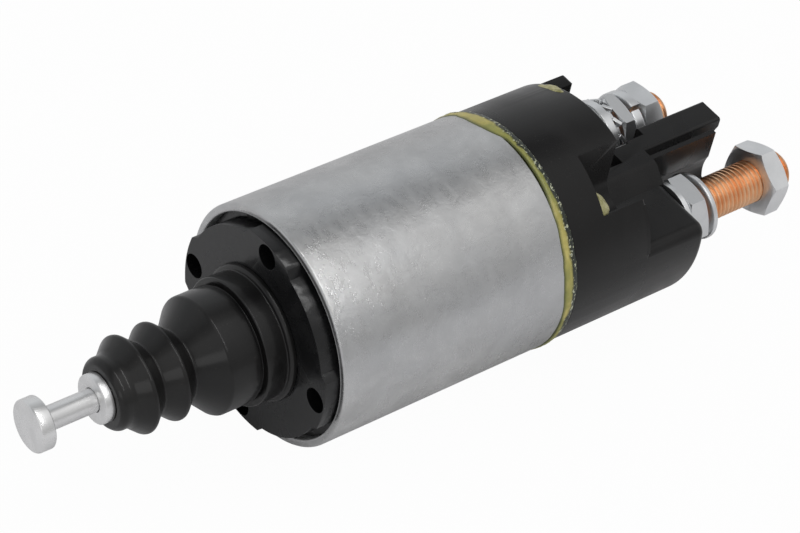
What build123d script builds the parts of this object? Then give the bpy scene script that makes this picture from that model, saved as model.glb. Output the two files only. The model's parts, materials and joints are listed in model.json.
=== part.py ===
# Starter solenoid: a flanged can with a rubber boot and link rod in front, and a moulded terminal cap
# behind. X runs along the axis towards the terminals, Z is up, and the origin is the centre of the
# mounting face. Sizes are millimetres.

from math import asin, cos, pi, radians, sin, sqrt
import os

from build123d import *

# Clearances
RUNNING_GAP = 0.08
SEAT_GAP = 0.05
AIR_GAP = 0.3
PIECE_GAP = 0.2

# Can
CAN_RADIUS = 32.5
CAN_WALL = 2.2
CAN_LENGTH = 71.0
CAN_RIM_EDGE = 0.5

# Mounting flange plate
PLATE_THICKNESS = 12.0
EAR_SET_IN = 0.35
EAR_HALF_WIDTH = 9.5
EAR_STAND_OUT = 4.0
EAR_CORNER = 1.6
SCALLOP_SET_IN = 1.6
SCALLOP_DEPTH = 6.5
BOLT_EDGE_DISTANCE = 3.65
BOLT_COUNT = 4
BOLT_HOLE_RADIUS = 3.35
BOSS_RADIUS = 18.2
BOSS_HEIGHT = 0.7
HUB_WALL = 1.4
HUB_REACH = 7.8

# Plunger and its guide sleeve
PLUNGER_RADIUS = 12.0
PLUNGER_FRONT = -14.0
PLUNGER_LENGTH = 58.0
PLUNGER_TRAVEL = 12.0
PLUNGER_GROOVE_DEPTH = 0.6
PLUNGER_GROOVE_WIDTH = 2.0
GROOVE_PLACES = (0.4, 0.7)
SLEEVE_WALL = 0.95
SLEEVE_FRONT = -6.5
DRIVE_BORE_RADIUS = 8.0
DRIVE_BORE_DEPTH = 38.2
RETURN_BORE_RADIUS = 9.4
RETURN_BORE_DEPTH = 10.0

# Guide tube in front of the plunger
TUBE_RADIUS = 5.8
TUBE_FRONT = -47.8
TUBE_PLUG_LENGTH = 4.0
COLLAR_RADIUS = 6.5
COLLAR_LENGTH = 2.4

# Link rod
ROD_RADIUS = 3.1
HEAD_RADIUS = 6.9
HEAD_FRONT = -66.0
HEAD_LENGTH = 3.9
ROD_FLANGE_LENGTH = 3.0
HEAD_ROUNDING = 1.2

# Springs
DRIVE_WIRE = 1.9
DRIVE_TURNS = 8
RETURN_WIRE = 1.2
RETURN_TURNS = 6
CONTACT_WIRE = 1.0
CONTACT_TURNS = 5

# Rubber boot
BOOT_WALL = 1.9
CUFF_RADIUS = 9.6
CUFF_LENGTH = 3.9
CUFF_STEP = 1.2
FOLD_CREST = 13.3
FOLD_VALLEY = 9.2
FIRST_CREST = -37.2
FOLD_PITCH = 9.1
FOLD_COUNT = 2
CUP_RADIUS = 15.8
CUP_FRONT = -17.3
CUP_REAR = -8.6
BEAD_RADIUS = 17.2
BEAD_WIDTH = 3.6
GROOVE_RADIUS = 15.0
GROOVE_WIDTH = 0.9
FOOT_HEIGHT = 1.0

# Bobbin and windings
BOBBIN_WALL = 1.2
BOBBIN_FLANGE = 1.8
PULL_WINDING_DEPTH = 6.3
WINDING_COVER = 1.9

# Core with its end plate
POLE_GAP = 12.3
CORE_PLATE_THICKNESS = 6.0
CORE_SET_IN = 9.0
POLE_RECESS_DEPTH = 3.7
POLE_CHAMFER = 1.0

# Terminal cap
CAP_STEP = 0.2
CAP_SPIGOT_GAP = 0.1
GASKET_THICKNESS = 1.0
GASKET_WIDTH = 2.2
JOINT_WIDTH = 2.8
RING_LENGTH = 25.7
RING_EDGE = 0.8
TOWER_LENGTH = 20.0
TOWER_EDGE = 2.2
TOWER_CORNER = 3.5
TOWER_TOP = 8.1
BLOCK_LEFT = -8.9
BLOCK_RIGHT = 1.0
BLOCK_FOOT = 4.6
BLOCK_TOP = 12.4
TOP_RECESS_LEFT = -5.0
TOP_RECESS_RIGHT = 4.0
TOP_RECESS_LENGTH = 11.5
TOP_RECESS_FLOOR = 8.4
WING_SET_IN = 0.9
WING_WIDTH = 9.1
WING_TOP = 17.2
WING_LENGTH = 15.8
WING_EDGE = 1.2
CAVITY_RADIUS = 17.0
SLOT_END_SPACE = 1.8
SLOT_HALF_HEIGHT = 6.4
TOWER_FLOOR = 11.5
CAVITY_STEP_DEPTH = 11.4
SPRING_POCKET_RADIUS = 6.2
SPRING_POCKET_DEPTH = 6.0
CAVITY_MIDDLE_RADIUS = 6.8

# Cap screws and the sealant over them
SCREW_EDGE_DISTANCE = 7.3
SCREW_FIRST_ANGLE = 45.0
SCREW_COUNT = 4
SCREW_RADIUS = 2.5
SCREW_HEAD_RADIUS = 4.5
SCREW_HEAD_LENGTH = 3.0
SCREW_SEAT_DEPTH = 7.7
SCREW_END_GAP = 1.0
SCREW_POCKET_RADIUS = 5.6
NOTCH_HALF_WIDTH = 6.9
NOTCH_DEPTH = 13.9
SEALANT_DOME = 4.4
OPEN_PLUG_HEIGHT = 2.2
JOINT_BULGE = 0.7

# Barrier wall between the terminals
BARRIER_HALF_WIDTH = 4.0
BARRIER_LEDGE_LENGTH = 4.0
BARRIER_LENGTH = 27.8
BARRIER_EDGE = 0.8
BARRIER_SCOOP_RADIUS = 13.4
BARRIER_SCOOP_DEPTH = 4.0
SKIN_SLOT = 1.9
SKIN_THICKNESS = 1.4
SKIN_TOP = 11.8
SKIN_LENGTH = 23.3
SKIN_NUT_GAP = 0.35

# Studs
STUD_RADIUS = 6.0
STUD_EDGE_DISTANCE = 15.1
STUD_HEIGHT = -1.2
STUD_CHAMFER = 0.85
STUD_HEAD_LENGTH = 3.8
STUD_HEAD_WIDTH = 15.0
STUD_HEAD_HEIGHT = 10.6
CONTACT_CORNER = 1.5
BATTERY_STUD_REACH = 41.2
MOTOR_STUD_REACH = 26.0
CONTROL_RADIUS = 2.5
CONTROL_HEIGHT = -22.0
CONTROL_REACH = 11.0
CONTROL_CHAMFER = 0.4

# Nuts and washers
NUT_ACROSS_FLATS = 18.0
NUT_CHAMFER_ANGLE = 30.0
BASE_NUT_LENGTH = 6.0
MOTOR_BASE_NUT_LENGTH = 4.2
OUTER_NUT_LENGTH = 6.0
PLAIN_WASHER_RADIUS = 9.8
PLAIN_WASHER_THICKNESS = 1.5
FLAT_WASHER_RADIUS = 10.2
FLAT_WASHER_THICKNESS = 2.6
TOOTHED_WASHER_RADIUS = 10.4
TOOTHED_ROOT_RADIUS = 9.1
TOOTHED_WASHER_THICKNESS = 3.0
TOOTH_COUNT = 14
TOOTH_SHARE = 0.55
LOCK_WASHER_RADIUS = 10.5
BATTERY_LOCK_THICKNESS = 3.4
MOTOR_LOCK_THICKNESS = 4.0
LOCK_WASHER_SLIT = 1.8
LOCK_SLIT_ANGLE = 18.0
BATTERY_LOCK_ANGLE = 150.0
MOTOR_LOCK_ANGLE = 130.0
CABLE_SPACE = 19.6
BATTERY_BASE_ANGLE = 64.0
BATTERY_OUTER_ANGLE = 36.5
MOTOR_BASE_ANGLE = 8.0
MOTOR_OUTER_ANGLE = 55.0
CONTROL_ACROSS_FLATS = 8.0
CONTROL_NUT_LENGTH = 4.0
CONTROL_WASHER_RADIUS = 5.0
CONTROL_WASHER_THICKNESS = 1.0

# Moving contact
CONTACT_ROD_RADIUS = 3.0
CONTACT_ROD_SET_IN = 1.6
CONTACT_TRAVEL = 3.0
SPRING_COLLAR_REACH = 24.0
SPRING_COLLAR_LENGTH = 2.0
SPRING_COLLAR_RADIUS = 5.0
BRIDGE_THICKNESS = 3.0
BRIDGE_END_GAP = 2.5
BRIDGE_HALF_HEIGHT = 5.0
INSULATOR_RADIUS = 6.0
INSULATOR_SLEEVE_RADIUS = 4.3
FRONT_INSULATOR_LENGTH = 3.0
REAR_INSULATOR_LENGTH = 1.2
CLIP_RADIUS = 5.0
CLIP_THICKNESS = 1.0

# Places worked out from the sizes above
CAN_FRONT = EAR_STAND_OUT
CAN_REAR = CAN_FRONT + CAN_LENGTH
CAN_BORE = CAN_RADIUS - CAN_WALL
CORE_PLATE_FRONT = CAN_REAR - CORE_SET_IN
RING_FRONT = CAN_REAR + JOINT_WIDTH
RING_REAR = RING_FRONT + RING_LENGTH
TOWER_REAR = RING_REAR + TOWER_LENGTH
WING_REAR = RING_REAR + WING_LENGTH
CAVITY_REAR = TOWER_REAR - TOWER_FLOOR
SCREW_SEAT = RING_FRONT + SCREW_SEAT_DEPTH
NOTCH_FLOOR = RING_REAR - NOTCH_DEPTH
BARRIER_LEDGE_REAR = TOWER_REAR + BARRIER_LEDGE_LENGTH
BARRIER_REAR = TOWER_REAR + BARRIER_LENGTH
SKIN_REAR = TOWER_REAR + SKIN_LENGTH
BATTERY_STUD_REAR = TOWER_REAR + BATTERY_STUD_REACH
MOTOR_STUD_REAR = TOWER_REAR + MOTOR_STUD_REACH
CONTROL_REAR = TOWER_REAR + CONTROL_REACH
CONTACT_ROD_REAR = CAVITY_REAR - CONTACT_ROD_SET_IN
SPRING_COLLAR_FRONT = CAVITY_REAR - SPRING_COLLAR_REACH
PLATE_FIT_RADIUS = CAN_BORE - SEAT_GAP
EAR_RADIUS = PLATE_FIT_RADIUS - EAR_SET_IN
SCALLOP_RADIUS = EAR_RADIUS - SCALLOP_SET_IN
BOLT_CIRCLE = 2 * (EAR_RADIUS - BOLT_EDGE_DISTANCE)
CAP_RADIUS = CAN_RADIUS - CAP_STEP
WING_RADIUS = CAP_RADIUS - WING_SET_IN
WING_SIDE = WING_RADIUS - WING_WIDTH
BARRIER_TOP = BLOCK_TOP
SCREW_CIRCLE_RADIUS = CAP_RADIUS - SCREW_EDGE_DISTANCE
STUD_SIDE = CAP_RADIUS - STUD_EDGE_DISTANCE
SLOT_HALF_WIDTH = STUD_SIDE + STUD_HEAD_WIDTH / 2 + SLOT_END_SPACE
BRIDGE_HALF_WIDTH = SLOT_HALF_WIDTH - BRIDGE_END_GAP
SLEEVE_BORE = PLUNGER_RADIUS + RUNNING_GAP
SLEEVE_RADIUS = SLEEVE_BORE + SLEEVE_WALL
PLATE_BORE = SLEEVE_RADIUS + SEAT_GAP
HUB_RADIUS = PLATE_BORE + HUB_WALL
PLUNGER_REAR = PLUNGER_FRONT + PLUNGER_LENGTH
POLE_FRONT = PLUNGER_REAR + POLE_GAP
POLE_RADIUS = SLEEVE_RADIUS - SEAT_GAP
CORE_PLATE_REAR = CORE_PLATE_FRONT + CORE_PLATE_THICKNESS
BOBBIN_FRONT = PLATE_THICKNESS + PIECE_GAP
BOBBIN_REAR = CORE_PLATE_FRONT - PIECE_GAP
BOBBIN_BORE = SLEEVE_RADIUS + SEAT_GAP
PULL_WINDING_RADIUS = BOBBIN_BORE + BOBBIN_WALL + PULL_WINDING_DEPTH
HOLD_WINDING_RADIUS = CAN_BORE - WINDING_COVER
SPIGOT_RADIUS = CAN_BORE - CAP_SPIGOT_GAP
SPIGOT_FRONT = CORE_PLATE_REAR + GASKET_THICKNESS
ROD_BORE = ROD_RADIUS + RUNNING_GAP
CONTACT_BORE = CONTACT_ROD_RADIUS + RUNNING_GAP
DRIVE_BORE_REAR = PLUNGER_FRONT + DRIVE_BORE_DEPTH
RETURN_BORE_FRONT = PLUNGER_REAR - RETURN_BORE_DEPTH
ROD_FLANGE_REAR = DRIVE_BORE_REAR - PIECE_GAP
ROD_FLANGE_FRONT = ROD_FLANGE_REAR - ROD_FLANGE_LENGTH
TUBE_PLUG_REAR = PLUNGER_FRONT + TUBE_PLUG_LENGTH
STUD_HEAD_FRONT = CAVITY_REAR - STUD_HEAD_LENGTH
CAVITY_STEP = CAVITY_REAR - CAVITY_STEP_DEPTH
BRIDGE_REAR = STUD_HEAD_FRONT - CONTACT_TRAVEL - PIECE_GAP
BRIDGE_FRONT = BRIDGE_REAR - BRIDGE_THICKNESS
CONTACT_ROD_FRONT = RETURN_BORE_FRONT + PLUNGER_TRAVEL - CONTACT_TRAVEL + PIECE_GAP


def turned(*points, corners=0.0):
    """A solid turned about the X axis from an outline of (x, radius) points."""
    if not corners:
        outline = Polyline(*points, close=True)
    else:
        outline = FilletPolyline(*points, radius=corners, close=True)
    return revolve(make_face(outline), Axis.X, 360)


def ring(front, rear, inner, outer):
    """A plain ring about the X axis."""
    return turned((front, inner), (rear, inner), (rear, outer), (front, outer))


def rod(front, rear, radius, side=0.0, height=0.0):
    """A plain cylinder along X."""
    return Pos(front, side, height) * (Plane.YZ * extrude(Circle(radius), rear - front))


def block(x_low, x_high, y_low, y_high, z_low, z_high):
    """A box between two corners."""
    size = (x_high - x_low, y_high - y_low, z_high - z_low)
    centre = ((x_high + x_low) / 2, (y_high + y_low) / 2, (z_high + z_low) / 2)
    return Pos(*centre) * Box(*size)


def around(radius, count, first_angle):
    """Places (y, z) evenly spaced on a circle about the X axis."""
    turns = [radians(first_angle + 360 / count * index) for index in range(count)]
    return [(radius * cos(turn), radius * sin(turn)) for turn in turns]


def spring(front, rear, mean_radius, wire, turns):
    """A coil spring along X, as long as the space between its seats."""
    height = rear - front - wire
    path = Plane.YZ.offset(front + wire / 2) * Helix(height / turns, height, mean_radius)
    section = Plane(path @ 0, z_dir=path % 0) * Circle(wire / 2)
    return sweep(section, path, is_frenet=True)


def can():
    body = ring(CAN_FRONT, CAN_REAR, CAN_BORE, CAN_RADIUS)
    rims = body.edges().filter_by(GeomType.CIRCLE).group_by(Axis.X)
    outer = [group.sort_by(SortBy.RADIUS)[-1] for group in (rims[0], rims[-1])]
    return fillet(outer, CAN_RIM_EDGE)


def flange_plate():
    plate = ring(SCALLOP_DEPTH, PLATE_THICKNESS, PLATE_BORE, PLATE_FIT_RADIUS)
    face = Circle(SCALLOP_RADIUS)
    for index in range(BOLT_COUNT):
        ear = Circle(EAR_RADIUS) & Pos(EAR_RADIUS, 0) * Rectangle(EAR_RADIUS * 2, EAR_HALF_WIDTH * 2)
        tips = ear.vertices().sort_by(Axis.X)[-2:]
        face += Rot(0, 0, 360 / BOLT_COUNT * index) * chamfer(tips, EAR_CORNER)
    plate += Plane.YZ * extrude(face, SCALLOP_DEPTH)
    plate += rod(-BOSS_HEIGHT, 0, BOSS_RADIUS)
    plate += rod(-HUB_REACH, 0, HUB_RADIUS)
    plate -= rod(-HUB_REACH, PLATE_THICKNESS, PLATE_BORE)
    for side, height in around(BOLT_CIRCLE / 2, BOLT_COUNT, 0):
        plate -= rod(0, PLATE_THICKNESS, BOLT_HOLE_RADIUS, side, height)
    return plate


def plunger_sleeve():
    return ring(SLEEVE_FRONT, POLE_FRONT - PIECE_GAP, SLEEVE_BORE, SLEEVE_RADIUS)


def plunger():
    body = rod(PLUNGER_FRONT, PLUNGER_REAR, PLUNGER_RADIUS)
    body = chamfer(body.edges().filter_by(GeomType.CIRCLE), PLUNGER_GROOVE_DEPTH)
    body -= rod(PLUNGER_FRONT, DRIVE_BORE_REAR, DRIVE_BORE_RADIUS)
    body -= rod(RETURN_BORE_FRONT, PLUNGER_REAR, RETURN_BORE_RADIUS)
    for share in GROOVE_PLACES:
        groove = PLUNGER_FRONT + PLUNGER_LENGTH * share
        floor = PLUNGER_RADIUS - PLUNGER_GROOVE_DEPTH
        body -= ring(groove, groove + PLUNGER_GROOVE_WIDTH, floor, PLUNGER_RADIUS + AIR_GAP)
    return body


def guide_tube():
    plug_radius = DRIVE_BORE_RADIUS - SEAT_GAP
    collar_rear = TUBE_FRONT + COLLAR_LENGTH
    return turned(
        (TUBE_FRONT, ROD_BORE),
        (TUBE_FRONT, COLLAR_RADIUS),
        (collar_rear, COLLAR_RADIUS),
        (collar_rear, TUBE_RADIUS),
        (PLUNGER_FRONT, TUBE_RADIUS),
        (PLUNGER_FRONT, plug_radius),
        (TUBE_PLUG_REAR, plug_radius),
        (TUBE_PLUG_REAR, ROD_BORE),
    )


def link_rod():
    head_rear = HEAD_FRONT + HEAD_LENGTH
    head = rod(HEAD_FRONT, head_rear, HEAD_RADIUS)
    rims = head.edges().filter_by(GeomType.CIRCLE).sort_by(Axis.X)
    head = fillet(rims[0], HEAD_ROUNDING)
    head = chamfer(head.edges().filter_by(GeomType.CIRCLE).sort_by(Axis.X)[-1], HEAD_ROUNDING / 3)
    shank = rod(head_rear, ROD_FLANGE_REAR, ROD_RADIUS)
    flange = rod(ROD_FLANGE_FRONT, ROD_FLANGE_REAR, DRIVE_BORE_RADIUS - PIECE_GAP)
    return head + shank + flange


def drive_spring():
    mean = (ROD_RADIUS + DRIVE_BORE_RADIUS) / 2 + 2 * PIECE_GAP
    front = TUBE_PLUG_REAR + PIECE_GAP
    return spring(front, ROD_FLANGE_FRONT - PIECE_GAP, mean, DRIVE_WIRE, DRIVE_TURNS)


def return_spring():
    mean = RETURN_BORE_RADIUS - RETURN_WIRE / 2 - AIR_GAP
    front = RETURN_BORE_FRONT + PIECE_GAP
    rear = POLE_FRONT + POLE_RECESS_DEPTH - PIECE_GAP
    return spring(front, rear, mean, RETURN_WIRE, RETURN_TURNS)


def boot():
    """The rubber boot: cuff, folds, cup, groove, bead, neck and foot, with one even wall."""
    cuff_front = TUBE_FRONT + COLLAR_LENGTH + PIECE_GAP
    cuff_rear = cuff_front + CUFF_LENGTH
    neck_bore = HUB_RADIUS + SEAT_GAP
    neck_radius = neck_bore + BOOT_WALL
    bead_rear = CUP_REAR + GROOVE_WIDTH + BEAD_WIDTH
    foot_front = -BOSS_HEIGHT - FOOT_HEIGHT
    outer = [(cuff_front, CUFF_RADIUS - CUFF_STEP), (cuff_front + CUFF_STEP, CUFF_RADIUS)]
    outer.append((cuff_rear, CUFF_RADIUS))
    corners = [0.4, 0.6, 0.8]
    for index in range(FOLD_COUNT):
        crest = FIRST_CREST + FOLD_PITCH * index
        outer += [(crest, FOLD_CREST), (crest + FOLD_PITCH / 2, FOLD_VALLEY)]
        corners += [0.9, 0.5]
    outer += [
        (CUP_FRONT, CUP_RADIUS),
        (CUP_REAR, CUP_RADIUS),
        (CUP_REAR, GROOVE_RADIUS),
        (CUP_REAR + GROOVE_WIDTH, GROOVE_RADIUS),
        (CUP_REAR + GROOVE_WIDTH, BEAD_RADIUS),
        (bead_rear, BEAD_RADIUS),
        (bead_rear, neck_radius),
        (foot_front, neck_radius),
        (foot_front, BOSS_RADIUS),
        (-BOSS_HEIGHT, BOSS_RADIUS),
    ]
    corners += [1.6, 0.3, 0.2, 0.2, 0.9, 0.3, 0.2, 0.2, 0.3, 0.1]
    cup_bore = CUP_RADIUS - BOOT_WALL
    cup_step = -HUB_REACH - AIR_GAP
    inner = [(-BOSS_HEIGHT, neck_bore), (cup_step, neck_bore), (cup_step, cup_bore)]
    inner.append((CUP_FRONT + BOOT_WALL / 2, cup_bore))
    corners += [0.1, 0.1, 0.1, 1.2]
    for index in reversed(range(FOLD_COUNT)):
        crest = FIRST_CREST + FOLD_PITCH * index
        inner += [(crest + FOLD_PITCH / 2, FOLD_VALLEY - BOOT_WALL), (crest, FOLD_CREST - BOOT_WALL)]
        corners += [1.2, 0.5]
    cuff_bore = TUBE_RADIUS + SEAT_GAP
    inner.append((cuff_rear + BOOT_WALL, FOLD_VALLEY - BOOT_WALL))
    inner += [(cuff_rear, cuff_bore), (cuff_front, cuff_bore)]
    corners += [0.4, 0.3, 0.1]
    return turned(*outer, *inner, corners=corners)


def bobbin():
    tube_radius = BOBBIN_BORE + BOBBIN_WALL
    flange_radius = CAN_BORE - AIR_GAP
    body = ring(BOBBIN_FRONT, BOBBIN_REAR, BOBBIN_BORE, tube_radius)
    body += ring(BOBBIN_FRONT, BOBBIN_FRONT + BOBBIN_FLANGE, BOBBIN_BORE, flange_radius)
    body += ring(BOBBIN_REAR - BOBBIN_FLANGE, BOBBIN_REAR, BOBBIN_BORE, flange_radius)
    return body


def winding(inner, outer):
    front = BOBBIN_FRONT + BOBBIN_FLANGE + PIECE_GAP / 2
    rear = BOBBIN_REAR - BOBBIN_FLANGE - PIECE_GAP / 2
    return ring(front, rear, inner, outer)


def core():
    pole = rod(POLE_FRONT, CORE_PLATE_REAR, POLE_RADIUS)
    pole = chamfer(pole.edges().filter_by(GeomType.CIRCLE).sort_by(Axis.X)[0], POLE_CHAMFER)
    body = pole + rod(CORE_PLATE_FRONT, CORE_PLATE_REAR, CAN_BORE - SEAT_GAP)
    body -= rod(POLE_FRONT, POLE_FRONT + POLE_RECESS_DEPTH, RETURN_BORE_RADIUS)
    body -= rod(POLE_FRONT, CORE_PLATE_REAR, CONTACT_BORE)
    for side, height in around(SCREW_CIRCLE_RADIUS, SCREW_COUNT, SCREW_FIRST_ANGLE):
        body -= rod(CORE_PLATE_FRONT, CORE_PLATE_REAR, SCREW_RADIUS + SEAT_GAP, side, height)
    return body


def cap_gasket():
    outer = SPIGOT_RADIUS - SEAT_GAP
    front = CORE_PLATE_REAR + SEAT_GAP
    return ring(front, SPIGOT_FRONT - SEAT_GAP, outer - GASKET_WIDTH, outer)


def cap_ring():
    """The round front part of the cap, with its spigot in the can."""
    body = rod(RING_FRONT, RING_REAR, CAP_RADIUS)
    body = fillet(body.edges().filter_by(GeomType.CIRCLE), RING_EDGE)
    return body + rod(SPIGOT_FRONT, RING_FRONT + RING_EDGE, SPIGOT_RADIUS)


def cap_tower():
    """The part behind the ring that carries the studs: round below, flat on top."""
    front = RING_REAR - RING_EDGE
    tower = rod(front, TOWER_REAR, CAP_RADIUS)
    above = CAP_RADIUS + AIR_GAP
    tower -= block(front - above, TOWER_REAR + above, -above, above, TOWER_TOP, above)
    top = tower.faces().sort_by(Axis.Z)[-1]
    tower = fillet(top.edges().filter_by(Axis.X), TOWER_CORNER)
    tower = fillet(tower.faces().sort_by(Axis.X)[-1].edges(), TOWER_EDGE)
    section = Polyline(
        (BLOCK_LEFT - BLOCK_FOOT, TOWER_TOP),
        (BLOCK_LEFT, BLOCK_TOP),
        (BLOCK_RIGHT, BLOCK_TOP),
        (BLOCK_RIGHT, 0),
        (BLOCK_LEFT - BLOCK_FOOT, 0),
        close=True,
    )
    ridge = Plane.YZ.offset(front) * extrude(make_face(section), TOWER_REAR - front)
    tower += chamfer(ridge.edges().filter_by(Axis.X).group_by(Axis.Z)[-1], RING_EDGE)
    recess_rear = RING_REAR + TOP_RECESS_LENGTH
    tower -= block(RING_REAR, recess_rear, TOP_RECESS_LEFT, TOP_RECESS_RIGHT, TOP_RECESS_FLOOR, above)
    return tower


def cap_wing():
    """The upright rib beside the open screw pocket, on the motor stud's side."""
    wing = rod(RING_REAR - RING_EDGE, WING_REAR, WING_RADIUS)
    wing &= block(RING_REAR - RING_EDGE, WING_REAR, WING_SIDE, WING_RADIUS, 0, WING_TOP)
    return fillet(wing.faces().sort_by(Axis.X)[-1].edges(), WING_EDGE)


def barrier_wall():
    """The upright wall between the studs, with the thin skin beside the battery stud."""
    front = TOWER_REAR - TOWER_EDGE
    wall = block(front, BARRIER_REAR, -BARRIER_HALF_WIDTH, BARRIER_HALF_WIDTH, -BARRIER_TOP, BARRIER_TOP)
    wall = fillet(wall.edges().filter_by(Axis.X), BARRIER_EDGE)
    ledge_side = BARRIER_HALF_WIDTH + AIR_GAP
    wall -= block(front, BARRIER_LEDGE_REAR, BLOCK_RIGHT, ledge_side, TOWER_TOP, BARRIER_TOP + AIR_GAP)
    scoop_centre = BARRIER_REAR - BARRIER_SCOOP_DEPTH + BARRIER_SCOOP_RADIUS
    scoop = Cylinder(BARRIER_SCOOP_RADIUS, 4 * BARRIER_HALF_WIDTH)
    scoop = Pos(scoop_centre, 0, 0) * Rot(90, 0, 0) * scoop
    wall -= scoop
    skin_right = -BARRIER_HALF_WIDTH - SKIN_SLOT
    skin = block(front, SKIN_REAR, skin_right - SKIN_THICKNESS, skin_right, -SKIN_TOP, SKIN_TOP)
    nut_corner = NUT_ACROSS_FLATS / sqrt(3) + SKIN_NUT_GAP
    skin -= rod(TOWER_REAR, SKIN_REAR, nut_corner, -STUD_SIDE, STUD_HEIGHT)
    skin -= scoop
    return wall + skin


def cap():
    body = cap_ring() + cap_tower() + cap_wing() + barrier_wall()
    body -= rod(SPIGOT_FRONT, CAVITY_STEP, CAVITY_RADIUS)
    slot_low = STUD_HEIGHT - SLOT_HALF_HEIGHT
    slot_high = STUD_HEIGHT + SLOT_HALF_HEIGHT
    body -= block(SPIGOT_FRONT, CAVITY_REAR, -SLOT_HALF_WIDTH, SLOT_HALF_WIDTH, slot_low, slot_high)
    body -= rod(SPIGOT_FRONT, CAVITY_REAR, CAVITY_MIDDLE_RADIUS)
    body -= rod(CAVITY_REAR, CAVITY_REAR + SPRING_POCKET_DEPTH, SPRING_POCKET_RADIUS)
    for side in (-STUD_SIDE, STUD_SIDE):
        body -= rod(CAVITY_REAR, TOWER_REAR, STUD_RADIUS + SEAT_GAP, side, STUD_HEIGHT)
    body -= rod(CAVITY_REAR, TOWER_REAR, CONTROL_RADIUS + SEAT_GAP, 0, CONTROL_HEIGHT)
    open_pocket_rear = RING_REAR + OPEN_PLUG_HEIGHT + SEALANT_DOME + AIR_GAP
    pocket_rears = [open_pocket_rear] + [TOWER_REAR] * (SCREW_COUNT - 1)
    places = around(SCREW_CIRCLE_RADIUS, SCREW_COUNT, SCREW_FIRST_ANGLE)
    for (side, height), pocket_rear in zip(places, pocket_rears):
        body -= rod(SPIGOT_FRONT, SCREW_SEAT, SCREW_RADIUS + SEAT_GAP, side, height)
        body -= rod(SCREW_SEAT, pocket_rear, SCREW_POCKET_RADIUS, side, height)
    notch_side, notch_height = places[1]
    body -= rod(NOTCH_FLOOR, RING_REAR, NOTCH_HALF_WIDTH, notch_side, notch_height)
    left = notch_side - NOTCH_HALF_WIDTH
    right = notch_side + NOTCH_HALF_WIDTH
    body -= block(NOTCH_FLOOR, RING_REAR, left, right, notch_height, CAP_RADIUS)
    return body


def cap_screws():
    front = CORE_PLATE_FRONT + SCREW_END_GAP
    screws = []
    for side, height in around(SCREW_CIRCLE_RADIUS, SCREW_COUNT, SCREW_FIRST_ANGLE):
        shank = rod(front, SCREW_SEAT, SCREW_RADIUS, side, height)
        head = rod(SCREW_SEAT, SCREW_SEAT + SCREW_HEAD_LENGTH, SCREW_HEAD_RADIUS, side, height)
        screws.append(shank + head)
    return Compound(children=screws)


def screw_sealant():
    """A plug in each screw pocket, domed where it stands out of the moulding."""
    plugs = []
    places = around(SCREW_CIRCLE_RADIUS, SCREW_COUNT, SCREW_FIRST_ANGLE)
    tops = [RING_REAR + OPEN_PLUG_HEIGHT, NOTCH_FLOOR, NOTCH_FLOOR, NOTCH_FLOOR]
    radius = SCREW_POCKET_RADIUS - SEAT_GAP
    ball = (radius**2 + SEALANT_DOME**2) / (2 * SEALANT_DOME)
    half_turn = asin(radius / ball) / 2
    front = SCREW_SEAT + SCREW_HEAD_LENGTH + SEAT_GAP
    for (side, height), top in zip(places, tops):
        outline = Polyline((top + SEALANT_DOME, 0), (front, 0), (front, radius), (top, radius))
        centre = top + SEALANT_DOME - ball
        middle = (centre + ball * cos(half_turn), ball * sin(half_turn))
        dome = ThreePointArc((top, radius), middle, (top + SEALANT_DOME, 0))
        plug = revolve(make_face([*outline.edges(), dome]), Axis.X, 360)
        plugs.append(Pos(0, side, height) * plug)
    return Compound(children=plugs)


def joint_sealant():
    front = CAN_REAR + SEAT_GAP
    rear = RING_FRONT - SEAT_GAP
    inner = SPIGOT_RADIUS + SEAT_GAP
    can_side = (front, CAN_RADIUS - CAN_RIM_EDGE)
    cap_side = (rear, CAP_RADIUS - RING_EDGE)
    base = Polyline(can_side, (front, inner), (rear, inner), cap_side)
    bulge = ThreePointArc(cap_side, ((front + rear) / 2, CAN_RADIUS + JOINT_BULGE), can_side)
    return revolve(make_face([*base.edges(), bulge]), Axis.X, 360)


def terminal_stud(side, rear):
    """A stud moulded through the cap, with its contact head in the cavity."""
    stud = rod(CAVITY_REAR - STUD_HEAD_LENGTH / 2, rear, STUD_RADIUS, side, STUD_HEIGHT)
    stud = chamfer(stud.edges().filter_by(GeomType.CIRCLE).sort_by(Axis.X)[-1], STUD_CHAMFER)
    head = block(
        STUD_HEAD_FRONT,
        CAVITY_REAR - SEAT_GAP,
        side - STUD_HEAD_WIDTH / 2,
        side + STUD_HEAD_WIDTH / 2,
        STUD_HEIGHT - STUD_HEAD_HEIGHT / 2,
        STUD_HEIGHT + STUD_HEAD_HEIGHT / 2,
    )
    return stud + fillet(head.edges().filter_by(Axis.X), CONTACT_CORNER)


def control_stud():
    stud = rod(CAVITY_REAR + SEAT_GAP, CONTROL_REAR, CONTROL_RADIUS, 0, CONTROL_HEIGHT)
    return chamfer(stud.edges().filter_by(GeomType.CIRCLE).sort_by(Axis.X)[-1], CONTROL_CHAMFER)


def washer(front, thickness, inner, outer, side, height):
    return Pos(0, side, height) * ring(front, front + thickness, inner, outer)


def nut(front, length, across_flats, bore, turn, side, height):
    """A hexagon nut with the corners taken off at both faces."""
    corner = across_flats / sqrt(3)
    drop = (corner - across_flats / 2) * sin(radians(NUT_CHAMFER_ANGLE))
    prism = Plane.YZ * extrude(Rot(0, 0, turn) * RegularPolygon(corner, 6), length)
    envelope = turned(
        (0, 0),
        (0, across_flats / 2),
        (drop, corner),
        (length - drop, corner),
        (length, across_flats / 2),
        (length, 0),
    )
    body = (prism & envelope) - rod(0, length, bore)
    return Pos(front, side, height) * body


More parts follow.
